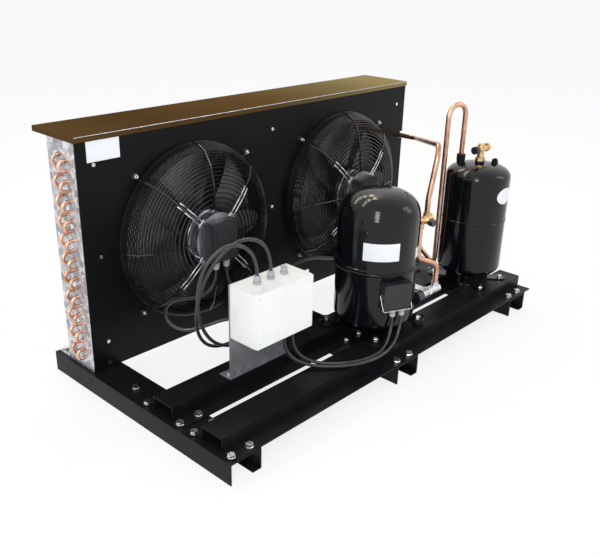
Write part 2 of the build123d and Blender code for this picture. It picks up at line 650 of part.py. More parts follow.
SV_Z0, SV_Z1 = 296.0, 372.0
suction = rod(18, SV_Z1 - SV_Z0, (SUCTION_X, SUCTION_VY, SV_Z0))
suction += at_suction(rod(17, 21, (COMP_X, SUCTION_Y - 21, SUCTION_Z), "Y"))
suction += rod(17, 26, (SUCTION_X - 26, SUCTION_VY, 314), "X")
suction -= rod(13, 30, (SUCTION_X - 27, SUCTION_VY, 314), "X")
suction -= rod(5 + RUN_GAP, 40, (SUCTION_X, SUCTION_VY, SV_Z1 - 38))
save("suction_valve", suction)
spin2 = rod(5, 40, (SUCTION_X, SUCTION_VY, SV_Z1 - 34))
spin2 += block(SUCTION_X - 3, SUCTION_X + 3, SUCTION_VY - 3, SUCTION_VY + 3, SV_Z1 + 5.5, SV_Z1 + 11)
save("suction_spindle", spin2)
cap_hollow = rod(8, 17, (SUCTION_X, SUCTION_VY, SV_Z1 - 1))
caps.append(rod(17, 20, (SUCTION_X, SUCTION_VY, SV_Z1)) - cap_hollow)
SUCTION_STUB_R = 14.0
stub_at = (SUCTION_X - 26 - SUCTION_PIPE, SUCTION_VY, 314)
save("pipe_suction", tube(SUCTION_STUB_R, SUCTION_STUB_R - 1.1, SUCTION_PIPE, stub_at, "X"))

# ---- receiver ----
REC_AT = (REC_X, REC_Y, 0)
REC_WALL = 3.0
top_half = dished(250, 440, REC_Z1, REC_R, REC_WALL, 1, 0.8)
low_half = dished(250, 150, REC_Z0, REC_R, REC_WALL, -1, 0.8)
outline = list(reversed(low_half[1:low_half.index((0.0, REC_Z0)) + 1]))
recv = turned(top_half, REC_AT) + turned(low_half, REC_AT)
recv += turned([(REC_R - 0.5, 302), (REC_R + 1.5, 304), (REC_R + 1.5, 307), (REC_R - 0.5, 309)], REC_AT)
IN_X, IN_Y = 548.0, -310.0
PLUG_X, PLUG_Y = 606.0, -400.0
inner_cut = turned([(0, 130), (REC_R - REC_WALL, 160), (REC_R - REC_WALL, 430), (60, 462), (0, 470)], REC_AT)
for x, y, r, z1 in ((IN_X, IN_Y, 13, 482), (PLUG_X, PLUG_Y, 11, 482), (REC_X, REC_Y, 15, 490)):
    recv += rod(r, z1 - 455, (x, y, 455)) - inner_cut
recv -= rod(6.5, 60, (REC_X, REC_Y, 440)) + rod(6.5, 60, (IN_X, IN_Y, 440))
save("receiver_shell", recv)
base = tube(70, 66, REC_Z0 + 14 - (RAIL_TOP + 4), (REC_X, REC_Y, RAIL_TOP + 4))
base -= turned([(0, REC_Z0 - 1)] + [(r, z - SEAT_GAP) for r, z in
               reversed(dished(250, 150, REC_Z0, REC_R, REC_WALL, -1, 0.8)[1:16])] + [(0, 250)], REC_AT)
foot = rod(72, 4, (REC_X, REC_Y, RAIL_TOP)) - rod(50, 4, (REC_X, REC_Y, RAIL_TOP))
for x, y in REC_FEET:
    foot += rod(18, 4, (x, y, RAIL_TOP))
    ang = math.degrees(math.atan2(y - REC_Y, x - REC_X))
    mid = ((2 * x + REC_X) / 3, (2 * y + REC_Y) / 3, RAIL_TOP + 2)
    foot += Pos(*mid) * (Rot(0, 0, ang) * Box(70, 36, 4)) - rod(50, 10, (REC_X, REC_Y, RAIL_TOP - 2))
base += foot
for x, y in REC_FEET:
    base -= rod(4 + HOLE_GAP, 12, (x, y, RAIL_TOP - 2))
save("receiver_base", base)
save("receiver_fittings", hexa(24, 20, (IN_X, IN_Y, 482)) - rod(6, 22, (IN_X, IN_Y, 481)),
     hexa(17, 9, (PLUG_X, PLUG_Y, 482)) + rod(5, 3, (PLUG_X, PLUG_Y, 491)))

RV_Z = 527.0
rv = hexa(26, 10, (REC_X, REC_Y, 490)) + rod(11, 42, (REC_X, REC_Y, 500))
rv += rod(10, 58, (REC_X - 22, REC_Y, RV_Z), "X") + rod(13, 12, (REC_X + 26, REC_Y, RV_Z), "X")
rv -= rod(5, 22, (REC_X, REC_Y, 489.9))
rv -= rod(7, 26, (REC_X + 13, REC_Y, RV_Z), "X")
rv -= rod(4 + RUN_GAP, 26, (REC_X - 23, REC_Y, RV_Z), "X")
save("receiver_valve", rv)
save("receiver_spindle", rod(4, 30, (REC_X - 30, REC_Y, RV_Z), "X"))
caps.append(rod(12, 19, (REC_X - 41, REC_Y, RV_Z), "X") - rod(7, 17, (REC_X - 38, REC_Y, RV_Z), "X"))
save("valve_caps", *caps)
dip = tube(6.2, 5.2, 355, (REC_X, REC_Y, 134.9))
save("dip_tube", dip)
oval = tube(REC_R + SEAT_GAP + 0.6, REC_R + SEAT_GAP, 80, (REC_X, REC_Y, 355))
oval = oval & extrude(plane_at((REC_X, REC_Y - 200, 395), "Y") * Ellipse(26, 36), 150)

# ---- copper pipework ----
def pipe(name, points, radii, r=PIPE_R, wall=1.0):
    path = FilletPolyline(*points, radius=radii)
    start = Plane(origin=path @ 0, z_dir=path % 0)
    body = sweep(start * Circle(r), path=path) - sweep(start * Circle(r - wall), path=path)
    save(name, body)


pipe("pipe_discharge",
     [(OUT_X, VALVE_Y, VALVE_Z + 24), (OUT_X, VALVE_Y, 232), (V_X, V_Y, 262), (V_X, V_Y, V_Z - 24)],
     [22, 22])
pipe("pipe_condenser",
     [(242, V_Y, V_Z + 20), (242, V_Y, V_Z + 60), (278, V_Y, 588), (PORT_X, -72, NOTCH_HIGH),
      (PORT_X, HEAD_Y - 25, NOTCH_HIGH)],
     [70, 45, 40])
PIPE_B_X, PIPE_B_Y, PIPE_B_TOP = 471.0, -298.0, 662.0
pipe("pipe_liquid",
     [(PORT_X, HEAD_Y - 25, NOTCH_LOW), (PORT_X, -92, NOTCH_LOW), (PIPE_B_X, PIPE_B_Y, NOTCH_LOW),
      (PIPE_B_X, PIPE_B_Y, PIPE_B_TOP), (IN_X, IN_Y, PIPE_B_TOP), (IN_X, IN_Y, 502)],
     [40, 40, 37, 37])

# ---- switch box on its bracket ----
bracket = block(BRACKET_X0, BRACKET_X1, BOX_Y1, BOX_Y1 + 2, RAIL_TOP, BOX_Z1)
bracket += block(BRACKET_X0, BRACKET_X1, BOX_Y1 + 2, BOX_Y1 + 41, RAIL_TOP, RAIL_TOP + 2)
for x, y in BRACKET_FEET:
    bracket -= rod(4 + HOLE_GAP, 12, (x, y, RAIL_TOP - 4))
save("box_bracket", bracket)

BOX_T = 2.0
LID_Y = BOX_Y0 + 6
case = block(BOX_X0, BOX_X1, LID_Y, BOX_Y1, BOX_Z0, BOX_Z1)
case -= block(BOX_X0 + BOX_T, BOX_X1 - BOX_T, LID_Y - 1, BOX_Y1 - BOX_T, BOX_Z0 + BOX_T, BOX_Z1 - BOX_T)
case += block(BOX_X1, BOX_X1 + 21, -380, -378, BOX_Z0 + 29, BOX_Z1 - 4)
for dx in (12, BOX_X1 - BOX_X0 - 12):
    for z in (BOX_Z0 + 12, BOX_Z1 - 12):
        pillar = rod(5, BOX_Y1 - LID_Y, (BOX_X0 + dx, LID_Y, z), "Y")
        case += pillar - rod(1.9, 20, (BOX_X0 + dx, LID_Y - 1, z), "Y")
save("box_case", case)
lid = block(BOX_X0, BOX_X1, BOX_Y0, LID_Y, BOX_Z0, BOX_Z1)
lid = fillet(lid.edges().filter_by(Axis.Y), 3)
for dx in (12, BOX_X1 - BOX_X0 - 12):
    for z in (BOX_Z0 + 12, BOX_Z1 - 12):
        lid -= rod(2.2, 20, (BOX_X0 + dx, BOX_Y0 - 5, z), "Y")
save("box_lid", lid)

din_y = BOX_Y1 - BOX_T
gear = []
rail_bar = block(-430, -294, din_y - 7, din_y, 262, 297)
for k in range(2):
    x0 = -425 + k * 50
    gear.append(block(x0, x0 + 45, din_y - 60, din_y - 7, 242, 318))
terminal = block(-322, -298, din_y - 42, din_y - 7, 250, 308)
gear.append(terminal)
gear.append(rail_bar)
save("switchgear", *gear)

GLAND_LEN = 22.0
BOX_GLANDS = [(x, -362, BOX_Z1) for x in (-408, -362, -316)]
SUPPLY_OUT = (-300, -380, BOX_Z0)
HEATER_OUT = (-330, -380, BOX_Z0)


def term_gland(x):
    """Seat of a gland under the terminal box, from its place along the box."""
    place = Vector(x, -126.5, TZ0).rotate(Axis.Z, TERM_TURN)
    return (COMP_X + place.X, COMP_Y + place.Y, TZ0)


TERM_GLAND, HEATER_GLAND = term_gland(-8), term_gland(20)
glands = [gland(at) for at in FAN_GLANDS]
glands += [gland(at, 1) for at in BOX_GLANDS]
glands += [gland(at) for at in (SUPPLY_OUT, HEATER_OUT, TERM_GLAND, HEATER_GLAND)]
save("cable_glands", *glands)

# blank labels
label = block(-619, -526, -0.6, 0, 615, 666)
save("labels", label,
     Pos(*COMP_AT) * arc_label(COMP_R, 25, 331, 381, -47),
     Pos(*COMP_AT) * arc_label(COMP_R, 6, 322, 352, 18),
     oval)

# bolts of the compressor, receiver and bracket feet
feet = [bolt((x, y, FOOT_Z0 + FOOT_T), FOOT_Z0 + FOOT_T - RAIL_TOP + FRAME_T, 4, 13, 5.3) for x, y in COMP_FEET]
feet += [bolt((x, y, RAIL_TOP + 4), 4 + FRAME_T, 4, 13, 5.3) for x, y in REC_FEET]
feet += [bolt((x, y, RAIL_TOP + 2), 2 + FRAME_T, 4, 13, 5.3) for x, y in BRACKET_FEET]
save("foot_bolts", *feet)


# ---- cables: evenly spaced points along a Bezier curve, joined by tangent arcs ----
CABLE_R = 4.5
STEP = 54.0


def bezier(ctrl, t):
    pts = [tuple(p) for p in ctrl]
    while len(pts) > 1:
        pts = [tuple(a + (b - a) * t for a, b in zip(p, q)) for p, q in zip(pts, pts[1:])]
    return pts[0]


def even_points(ctrl, step):
    """Points spaced evenly by length along the Bezier curve of the control points."""
    fine = [bezier(ctrl, k / 600) for k in range(601)]
    run = [0.0]
    for p, q in zip(fine, fine[1:]):
        run.append(run[-1] + math.dist(p, q))
    n = max(3, round(run[-1] / step))
    out = []
    j = 0
    for k in range(n + 1):
        goal = run[-1] * k / n
        while j < 599 and run[j + 1] < goal:
            j += 1
        f = (goal - run[j]) / (run[j + 1] - run[j])
        out.append(tuple(a + (b - a) * f for a, b in zip(fine[j], fine[j + 1])))
    return out


def route(start, d0, mids, end, d1, step=STEP, bow=2.2):
    """Cable points from one gland to another; d0 and d1 point out of the two ends."""
    lead = step * 0.6
    a = tuple(p + d * lead for p, d in zip(start, d0))
    b = tuple(p + d * lead for p, d in zip(end, d1))
    a2 = tuple(p + d * lead * bow for p, d in zip(a, d0))
    b2 = tuple(p + d * lead * bow for p, d in zip(b, d1))
    return [start] + even_points([a, a2] + list(mids) + [b2, b], step) + [end]


def cable(name, points, r=CABLE_R):
    radii = []
    for p, q, s in zip(points, points[1:], points[2:]):
        u = Vector(*q) - Vector(*p)
        v = Vector(*s) - Vector(*q)
        half = math.radians(u.get_angle(v)) / 2
        radii.append(0.45 * min(u.length, v.length) / math.tan(half))
    path = FilletPolyline(*points, radius=radii)
    body = sweep(Plane(origin=path @ 0, z_dir=path % 0) * Circle(r), path=path)
    save(name, body)
    share = body.volume / (math.pi * r * r * path.length)
    print(name, "length", round(path.length), "least radius", round(min(radii)), "fill", round(share, 4),
          "radii", [round(x) for x in radii])


def tip(gland_at, sign):
    return (gland_at[0], gland_at[1], gland_at[2] + sign * GLAND_LEN)


DOWN, UP = (0, 0, -1), (0, 0, 1)
CABLES = {
    "cable_fan": route(tip(FAN_GLANDS[0], -1), DOWN,
                       [(-459, -60, 168), (-493, -77, 404), (-572, -145, 169), (-605, -205, 130)],
                       (-400, BOX_Y1 + 2, 235), (0, 1, 0)),
    "cable_link": route(tip(FAN_GLANDS[1], -1), DOWN,
                        [(-60, -185, 120), (-115, -165, 430), (60, -150, 245), (195, -140, 115)],
                        tip(FAN_GLANDS[2], -1), DOWN, bow=3.2),
    "cable_supply": route(tip(BOX_GLANDS[0], 1), UP,
                          [(-610, -325, 560), (-610, -305, 400), (-575, -290, 65), (-420, -260, 125)],
                          (-150, -225, 118), (-1, 0.0, 0.1), bow=2.6),
    "cable_control": route(tip(BOX_GLANDS[1], 1), UP,
                           [(-520, -330, 585), (-635, -290, 360), (-590, -250, 40), (-420, -235, 130)],
                           (-170, -205, 112), (-1, 0.1, 0.1), bow=2.6),
    "cable_compressor": route(tip(SUPPLY_OUT, -1), DOWN,
                              [(-222, -402, 25), (-200, -585, 165), (-165, -505, 110), (-60, -505, 60)],
                              tip(TERM_GLAND, -1), DOWN, 46, 1.8),
    "cable_heater": route(tip(HEATER_OUT, -1), DOWN,
                          [(-228, -412, 25), (-206, -604, 164), (-156, -519, 111), (-52, -513, 60)],
                          tip(HEATER_GLAND, -1), DOWN, 46, 1.8),
}
for name, points in CABLES.items():
    cable(name, points)
print("all parts written")
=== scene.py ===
"""Dresses the twin fan condensing unit: paint, metal, cables, a weld, small trim, stage and camera."""

import math

import bmesh
import bpy
from bpy.props import FloatProperty, FloatVectorProperty, IntProperty, PointerProperty
from mathutils import Matrix, Vector


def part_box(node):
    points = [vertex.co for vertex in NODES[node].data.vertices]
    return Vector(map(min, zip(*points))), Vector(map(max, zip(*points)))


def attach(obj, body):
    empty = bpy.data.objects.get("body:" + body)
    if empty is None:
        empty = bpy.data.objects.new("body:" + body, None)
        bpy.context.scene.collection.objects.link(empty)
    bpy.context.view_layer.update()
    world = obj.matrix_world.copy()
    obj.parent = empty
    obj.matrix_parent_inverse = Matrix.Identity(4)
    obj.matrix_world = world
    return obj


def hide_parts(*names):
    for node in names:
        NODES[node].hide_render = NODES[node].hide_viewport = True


bl_info = {
    "name": "Condensing Unit Dresser",
    "version": (1, 0, 0),
    "blender": (4, 5, 0),
    "location": "3D View > Sidebar > Condensing Unit",
    "description": "Paint, metal, cables and stage for a twin fan condensing unit",
    "category": "Object",
}

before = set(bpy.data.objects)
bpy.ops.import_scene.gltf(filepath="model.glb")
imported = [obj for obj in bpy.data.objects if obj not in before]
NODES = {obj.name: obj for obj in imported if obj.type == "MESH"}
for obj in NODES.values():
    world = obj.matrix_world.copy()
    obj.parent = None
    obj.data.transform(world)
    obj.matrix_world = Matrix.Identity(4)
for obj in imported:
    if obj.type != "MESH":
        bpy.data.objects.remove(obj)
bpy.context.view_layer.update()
MM = 0.001

# Camera: where it stands in metres, its azimuth, elevation and roll in degrees, and its lens.
CAMERA_PLACE = (-1.5695, -1.5727, 1.0940)
CAMERA_ANGLES = (-47.32, 23.40, 1.447)
SENSOR_WIDTH, LENS = 36.0, 45.8202

# Floor: half its width, how far it lies under the feet, and the share that is seen as plain white.
FLOOR_REACH, FLOOR_DROP, FLOOR_WHITE = 45.0, 0.0005, 0.82

# The compressor's seam weld: shell radius, height and the shell's axis.
SEAM_RADIUS, SEAM_HEIGHT, SEAM_AXIS = 0.1185, 0.2905, (0.050, -0.371, 0.0)

# Motor box, and the struts: (distance from the axis, y) along a wire, and the seat at its root.
MOTOR_BOX_WIDTH = 0.092
STRUT_RUN = ((0.076, -0.0945), (0.140, -0.0885), (0.166, -0.0825))
STRUT_WIRE = 0.0019
STRUT_SEAT_SIZE, STRUT_SEAT_Y, STRUT_SEAT_OUT = (0.024, 0.005, 0.014), -0.0950, 0.0735


# ---------------------------------------------------------------- settings
def colour(name, description, value):
    return FloatVectorProperty(name=name, description=description, default=value, size=3,
                               min=0.0, max=1.0, subtype="COLOR")


def length(name, description, value):
    return FloatProperty(name=name, description=description, default=value, min=0.0,
                         subtype="DISTANCE", unit="LENGTH")


class UnitSizes(bpy.types.PropertyGroup):
    cable: length("Cable", "Outer diameter of the sheathed cables", 0.009)
    weld_width: length("Weld width", "Width of the compressor's seam weld", 0.009)
    weld_rise: length("Weld rise", "How far the seam weld stands out", 0.0022)
    strut_gap: length("Strut gap", "Gap between the two wires of a motor strut", 0.012)
    weld_ripples: IntProperty(name="Weld ripples", description="Ripples around the seam weld",
                              default=120, min=12, max=400)


class UnitColours(bpy.types.PropertyGroup):
    frame_black: colour("Frame black", "Semi-gloss coat of the base frame", (0.0075, 0.0085, 0.0095))
    panel_black: colour("Panel black", "Coat of the fan panel", (0.0045, 0.0047, 0.0044))
    # The top cover's two colours are a painted reflection: dark bronze and light gold stand in for a warm
    # surrounding mirrored in its gloss black paint.
    cover_reflection_dark: colour("Cover bronze", "Warm tone of the top cover", (0.092, 0.052, 0.02))
    cover_reflection_light: colour("Cover gold", "Lighter end of the top cover", (0.26, 0.205, 0.095))
    vessel_black: colour("Vessel black", "Gloss coat of the compressor and receiver",
                         (0.0035, 0.004, 0.0055))
    wire_black: colour("Guard black", "Coated wire of the fan guards", (0.012, 0.0125, 0.013))
    zinc: colour("Zinc", "Plated bolts, nuts and screws", (0.72, 0.73, 0.74))
    spangle: colour("Galvanised", "Spangled sheet", (0.62, 0.64, 0.68))
    fins: colour("Fins", "Bare fin stock", (0.74, 0.75, 0.77))
    copper: colour("Copper", "Bare tube", (0.74, 0.42, 0.29))
    brass: colour("Brass", "Forged valves", (0.74, 0.52, 0.27))
    cast: colour("Cast alloy", "Motor housings and valve bodies", (0.72, 0.74, 0.78))
    enamel: colour("Enamel", "Switch box", (0.86, 0.87, 0.88))
    nylon: colour("Nylon", "Cable glands", (0.42, 0.42, 0.46))
    plastic: colour("Black plastic", "Motor and terminal boxes", (0.014, 0.016, 0.019))
    cable: colour("Cable", "Sheath of the cables", (0.02, 0.022, 0.026))
    blank: colour("Blank labels", "Stickers with nothing on them", (0.84, 0.86, 0.9))
    floor: colour("Floor", "Pale floor", (0.93, 0.93, 0.93))


def sizes():
    return bpy.context.scene.unit_sizes


def colours():
    return bpy.context.scene.unit_colours


# ---------------------------------------------------------------- materials
def add(tree, kind, inputs=(), **settings):
    """A shader node with its settings made and its inputs linked or filled."""
    node = tree.nodes.new(kind)
    for key, value in settings.items():
        setattr(node, key, value)
    for key, value in dict(inputs).items():
        if isinstance(value, bpy.types.NodeSocket):
            tree.links.new(value, node.inputs[key])
        else:
            node.inputs[key].default_value = value
    return node


def noise(tree, coords, scale, detail=3.0, roughness=0.55):
    inputs = {"Vector": coords, "Scale": scale, "Detail": detail, "Roughness": roughness}
    return add(tree, "ShaderNodeTexNoise", inputs).outputs["Fac"]


def stretched(tree, coords, scale):
    return add(tree, "ShaderNodeMapping", {"Vector": coords, "Scale": scale}).outputs["Vector"]


def tones(tree, value, stops):
    """A colour ramp from (place, colour) pairs."""
    ramp = add(tree, "ShaderNodeValToRGB", {"Fac": value}).color_ramp
    while len(ramp.elements) < len(stops):
        ramp.elements.new(0.5)
    for element, (place, rgb) in zip(ramp.elements, stops):
        element.position = place
        element.color = (*rgb, 1.0)
    return ramp.id_data.nodes[-1].outputs["Color"]


def between(tree, value, low, high, start=0.3, end=0.7):
    inputs = {"Value": value, "From Min": start, "From Max": end, "To Min": low, "To Max": high}
    return add(tree, "ShaderNodeMapRange", inputs).outputs["Result"]


def shaded(rgb, factor):
    return tuple(min(1.0, c * factor) for c in rgb)


def surface(name, metallic=0.0, specular=0.5, coat=0.0):
    """A new material: its tree, its shader node and its object coordinates."""
    material = bpy.data.materials.new(name)
    material.use_nodes = True
    tree = material.node_tree
    shader = tree.nodes["Principled BSDF"]
    shader.inputs["Metallic"].default_value = metallic
    shader.inputs["Specular IOR Level"].default_value = specular
    shader.inputs["Coat Weight"].default_value = coat
    shader.inputs["Coat Roughness"].default_value = 0.05
    coords = add(tree, "ShaderNodeTexCoord").outputs["Object"]
    return material, tree, shader, coords


def relief(tree, shader, height, strength, depth):
    inputs = {"Height": height, "Strength": strength, "Distance": depth}
    bump = add(tree, "ShaderNodeBump", inputs)
    tree.links.new(bump.outputs["Normal"], shader.inputs["Normal"])


def coated(name, rgb, rough, tone_scale=9.0, grain_scale=700.0, grain=0.12, depth=0.0004,
           specular=0.5, coat=0.0, spread=(0.75, 1.45)):
    """Paint or moulded plastic: slow tone changes, uneven gloss and a fine skin."""
    material, tree, shader, coords = surface(name, 0.0, specular, coat)
    slow = noise(tree, coords, tone_scale, 4.0)
    stops = [(0.3, shaded(rgb, spread[0])), (0.55, rgb), (0.78, shaded(rgb, spread[1]))]
    tree.links.new(tones(tree, slow, stops), shader.inputs["Base Color"])
    patches = noise(tree, coords, tone_scale * 4.5, 5.0)
    tree.links.new(between(tree, patches, *rough), shader.inputs["Roughness"])
    relief(tree, shader, noise(tree, coords, grain_scale, 2.0), grain, depth)
    return material


def bare(name, stops, rough, tone_scale=14.0, grain_scale=500.0, grain=0.1, depth=0.0003,
         stretch=(1.0, 1.0, 1.0)):
    """Bare metal: tarnish between several tones, with a directional or cast grain."""
    material, tree, shader, coords = surface(name, 1.0)
    tarnish = noise(tree, coords, tone_scale, 5.0, 0.6)
    tree.links.new(tones(tree, tarnish, stops), shader.inputs["Base Color"])
    along = stretched(tree, coords, stretch)
    lines = noise(tree, along, grain_scale, 3.0)
    tree.links.new(between(tree, lines, *rough), shader.inputs["Roughness"])
    relief(tree, shader, lines, grain, depth)
    return material


def frame_paint():
    return coated("frame_paint", colours().frame_black, (0.26, 0.44), 5.0, 620.0, 0.1, 0.0003,
                  0.1, 0.0)


def panel_paint():
    return coated("panel_paint", colours().panel_black, (0.3, 0.4), 3.0, 800.0, 0.08, 0.0002, 0.12)


def vessel_paint():
    return coated("vessel_paint", colours().vessel_black, (0.09, 0.16), 6.0, 420.0, 0.04, 0.0003,
                  0.34, 0.0)


def blade_paint():
    return coated("blade_paint", shaded(colours().wire_black, 0.7), (0.18, 0.3), 7.0, 500.0, 0.06,
                  0.0003, 0.4)


def wire_paint():
    return coated("wire_paint", colours().wire_black, (0.14, 0.24), 12.0, 900.0, 0.06,
                  0.0002, 0.6, 0.3)


def cover_painted_reflection():
    """Gloss coat of the top cover with a painted warm reflection in its base colour: warmer and lighter
    towards one end along X.
    """
    dark = colours().cover_reflection_dark
    light = colours().cover_reflection_light
    material, tree, shader, coords = surface("cover_painted_reflection", 0.0, 0.0)
    cloud = noise(tree, stretched(tree, coords, (0.6, 2.4, 1.0)), 3.0, 3.0)
    axis = add(tree, "ShaderNodeSeparateXYZ", {"Vector": coords}).outputs["X"]
    run = between(tree, axis, 0.0, 1.0, -0.65, 0.65)
    inputs = {0: run, 1: between(tree, cloud, -0.05, 0.05)}
    place = add(tree, "ShaderNodeMath", inputs, operation="ADD").outputs["Value"]
    # Painted reflection: the ramp runs from dark bronze to light gold along the cover's length.
    stops = [(0.0, shaded(dark, 0.95)), (0.2, shaded(dark, 0.72)), (0.5, shaded(dark, 1.1)),
             (0.78, shaded(light, 0.62)), (0.93, light)]
    tree.links.new(tones(tree, place, stops), shader.inputs["Base Color"])
    tree.links.new(between(tree, noise(tree, coords, 12.0), 0.14, 0.24), shader.inputs["Roughness"])
    relief(tree, shader, noise(tree, coords, 180.0), 0.02, 0.0003)
    return material


def spangled(name, base, metallic, contrast):
    """Hot dipped sheet: crystals of a centimetre or two, each with its own shade and gloss."""
    material, tree, shader, coords = surface(name, metallic)
    warp = add(tree, "ShaderNodeTexNoise", {"Vector": coords, "Scale": 40.0}).outputs["Color"]
    bent = add(tree, "ShaderNodeVectorMath", {0: warp, "Scale": 0.02}, operation="SCALE").outputs[0]
    moved = add(tree, "ShaderNodeVectorMath", {0: coords, 1: bent}, operation="ADD").outputs[0]
    cells = add(tree, "ShaderNodeTexVoronoi", {"Vector": moved, "Scale": 70.0})
    shade = add(tree, "ShaderNodeSeparateColor", {"Color": cells.outputs["Color"]}).outputs["Red"]
    stops = [(0.0, shaded(base, 1 - contrast)), (0.4, shaded(base, 1 - contrast / 2)),
             (0.75, base), (1.0, shaded(base, 1 + contrast / 2))]
    tree.links.new(tones(tree, shade, stops), shader.inputs["Base Color"])
    tree.links.new(between(tree, shade, 0.5, 0.3, 0.0, 1.0), shader.inputs["Roughness"])
    relief(tree, shader, shade, 0.08, 0.0005)
    return material


def spangled_sheet():
    return spangled("spangled_sheet", colours().spangle, 0.8, 0.5)


def dull_zinc_sheet():
    return spangled("dull_zinc_sheet", shaded(colours().spangle, 0.5), 0.6, 0.22)


def fin_stock():
    """The fins' edges, as fine lines across the coil."""
    base = colours().fins
    material, tree, shader, coords = surface("fin_stock", 0.9)
    inputs = {"Vector": coords, "Scale": 80.0, "Distortion": 0.3, "Detail": 1.0, "Detail Scale": 3.0}
    edges = add(tree, "ShaderNodeTexWave", inputs, bands_direction="X").outputs["Fac"]
    stops = [(0.25, shaded(base, 0.06)), (0.6, shaded(base, 0.5)), (0.9, base)]
    tree.links.new(tones(tree, edges, stops), shader.inputs["Base Color"])
    tree.links.new(between(tree, noise(tree, coords, 35.0), 0.3, 0.5), shader.inputs["Roughness"])
    relief(tree, shader, edges, 0.8, 0.001)
    return material


def bare_copper():
    base = colours().copper
    stops = [(0.28, shaded(base, 0.42)), (0.42, shaded(base, 0.75)), (0.58, base),
             (0.78, (0.88, 0.62, 0.48))]
    return bare("bare_copper", stops, (0.2, 0.42), 22.0, 260.0, 0.08, 0.0003, (3.0, 3.0, 0.5))


def bend_copper():
    stops = [(0.3, (0.5, 0.22, 0.13)), (0.5, (0.83, 0.46, 0.32)), (0.72, (0.93, 0.66, 0.54))]
    return bare("bend_copper", stops, (0.18, 0.36), 30.0, 300.0)


def forged_brass():
    base = colours().brass
    stops = [(0.3, shaded(base, 0.45)), (0.5, base), (0.75, (0.9, 0.72, 0.45))]
    return bare("forged_brass", stops, (0.24, 0.45), 45.0, 420.0, 0.18, 0.0005)


def cast_alloy():
    base = colours().cast
    stops = [(0.3, shaded(base, 0.55)), (0.5, shaded(base, 0.85)), (0.75, shaded(base, 1.2))]
    return bare("cast_alloy", stops, (0.26, 0.46), 28.0, 520.0, 0.3, 0.0006)


def bright_zinc():
    base = colours().zinc
    stops = [(0.3, shaded(base, 0.6)), (0.5, base), (0.72, (0.92, 0.92, 0.88))]
    return bare("bright_zinc", stops, (0.14, 0.32), 160.0, 900.0, 0.12, 0.0002)


def ground_steel():
    stops = [(0.3, (0.3, 0.31, 0.33)), (0.55, (0.52, 0.53, 0.55)), (0.8, (0.66, 0.66, 0.66))]
    return bare("ground_steel", stops, (0.22, 0.4), 40.0, 800.0, 0.15, 0.0003, (1.0, 1.0, 8.0))


def stacked_lamination():
    material, tree, shader, coords = surface("stacked_lamination", 0.9)
    sheets = add(tree, "ShaderNodeTexWave", {"Vector": coords, "Scale": 300.0, "Distortion": 0.4},
                 bands_direction="Z").outputs["Fac"]
    stops = [(0.2, (0.08, 0.08, 0.09)), (0.8, (0.36, 0.37, 0.4))]
    tree.links.new(tones(tree, sheets, stops), shader.inputs["Base Color"])
    tree.links.new(between(tree, sheets, 0.35, 0.55), shader.inputs["Roughness"])
    relief(tree, shader, sheets, 0.5, 0.0004)
    return material


def cast_iron():
    return coated("cast_iron", (0.06, 0.06, 0.065), (0.45, 0.7), 25.0, 600.0, 0.4, 0.0008, 0.5)


def black_plastic():
    return coated("black_plastic", colours().plastic, (0.36, 0.5), 14.0, 1300.0, 0.25, 0.0003, 0.45)


def black_rubber():
    return coated("black_rubber", (0.014, 0.014, 0.014), (0.55, 0.75), 20.0, 1100.0, 0.3, 0.0003, 0.3)


def grey_nylon():
    return coated("grey_nylon", colours().nylon, (0.34, 0.48), 40.0, 1200.0, 0.12, 0.0002, 0.5,
                  0.0, (0.85, 1.12))


def white_enamel():
    return coated("white_enamel", colours().enamel, (0.2, 0.32), 5.0, 500.0, 0.08, 0.0003, 0.5,
                  0.3, (0.95, 1.04))


def blank_sticker():
    return coated("blank_sticker", colours().blank, (0.18, 0.3), 12.0, 300.0, 0.06, 0.0002, 0.5,
                  0.4, (0.92, 1.05))


def valve_cap_plastic():
    return coated("valve_cap_plastic", (0.018, 0.021, 0.028), (0.2, 0.34), 40.0, 900.0, 0.1)


def cable_sheath():
    return coated("cable_sheath", colours().cable, (0.28, 0.44), 60.0, 1500.0, 0.2, 0.0002, 0.55,
                  0.15, (0.7, 1.6))


MADE = {}


def finish(maker):
    """The material of a finish, made once."""
    if maker.__name__ not in MADE:
        MADE[maker.__name__] = maker()
    return MADE[maker.__name__]


def paint(maker, *nodes):
    """Gives CAD nodes a finish."""
    material = finish(maker)
    for name in nodes:
        mesh = NODES[name].data
        mesh.materials.clear()
        mesh.materials.append(material)


# ---------------------------------------------------------------- shapes
def piece(name, mesh_data, maker, body="unit", smooth=True):
    """A finished mesh as an object of the unit; its place is in its mesh."""
    mesh = bpy.data.meshes.new(name)
    mesh_data.normal_update()
    mesh_data.to_mesh(mesh)
    mesh_data.free()
    for polygon in mesh.polygons:
        polygon.use_smooth = smooth
    item = bpy.data.objects.new(name, mesh)
    bpy.context.scene.collection.objects.link(item)
    mesh.materials.append(finish(maker))
    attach(item, body)
    return item


def lathed(points, centre, steps=96):
    """A ring turned about Z from a closed outline of (radius, height) points."""
    bm = bmesh.new()
    verts = [bm.verts.new((centre[0] + r, centre[1], centre[2] + h)) for r, h in points]
    edges = [bm.edges.new((verts[k], verts[(k + 1) % len(verts)])) for k in range(len(verts))]
    bmesh.ops.spin(bm, geom=verts + edges, cent=centre, axis=(0, 0, 1), angle=math.tau,
                   steps=steps, use_merge=True, use_duplicate=False)
    bmesh.ops.remove_doubles(bm, verts=bm.verts, dist=1e-6)
    bmesh.ops.recalc_face_normals(bm, faces=bm.faces)
    return bm


def rounded_block(bm, size, matrix, edge=0.0004, segments=2):
    """Adds a block with rounded edges to a bmesh."""
    made = bmesh.ops.create_cube(bm, size=1.0, matrix=matrix @ Matrix.Diagonal((*size, 1.0)))
    edges = list({e for v in made["verts"] for e in v.link_edges})
    bmesh.ops.bevel(bm, geom=edges, offset=edge, offset_type="OFFSET", affect="EDGES",
                    segments=segments, profile=0.5, material=-1)


